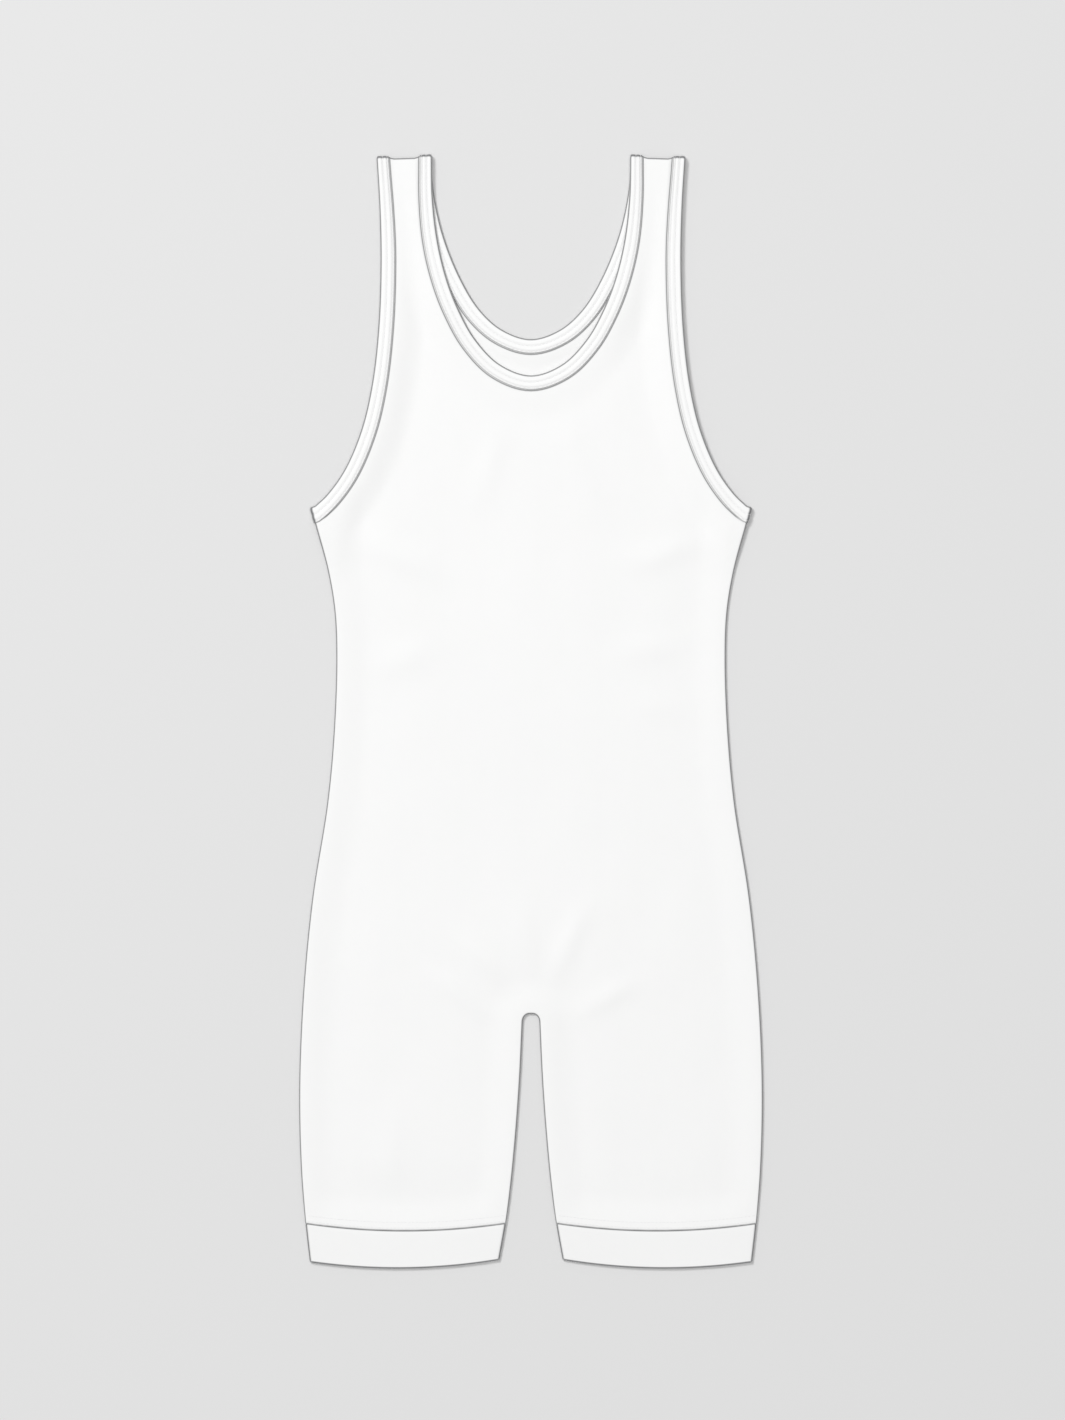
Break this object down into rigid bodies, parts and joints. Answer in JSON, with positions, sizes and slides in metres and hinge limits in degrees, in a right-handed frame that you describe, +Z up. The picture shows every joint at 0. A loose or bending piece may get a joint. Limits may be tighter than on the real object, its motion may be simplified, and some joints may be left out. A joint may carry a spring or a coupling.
{
  "type": "wrestling singlet",
  "caption": "One-piece wrestling singlet laid flat, front up, with scooped neck, deep bound armholes and short legs ending in doubled bands.",
  "frame": {"origin": "centre of the flat garment, on the surface that it lies on", "axes": "+Y towards the shoulders, +X towards the wearer's left, +Z up out of the front panel"},
  "size_m": [0.3748, 0.9, 0.0075],
  "materials": {
    "body_cloth": "white stretch warp knit with a soft satin face",
    "binding_cloth": "white stretch knit, folded and topstitched",
    "band_cloth": "white doubled stretch knit, slightly firmer"
  },
  "bodies": {
    "root": {"front_panel": "body_cloth", "back_panel": "body_cloth", "neck_binding": "binding_cloth", "armhole_binding_left": "binding_cloth", "armhole_binding_right": "binding_cloth", "leg_band_left": "band_cloth", "leg_band_right": "band_cloth"}
  },
  "joints": []
}
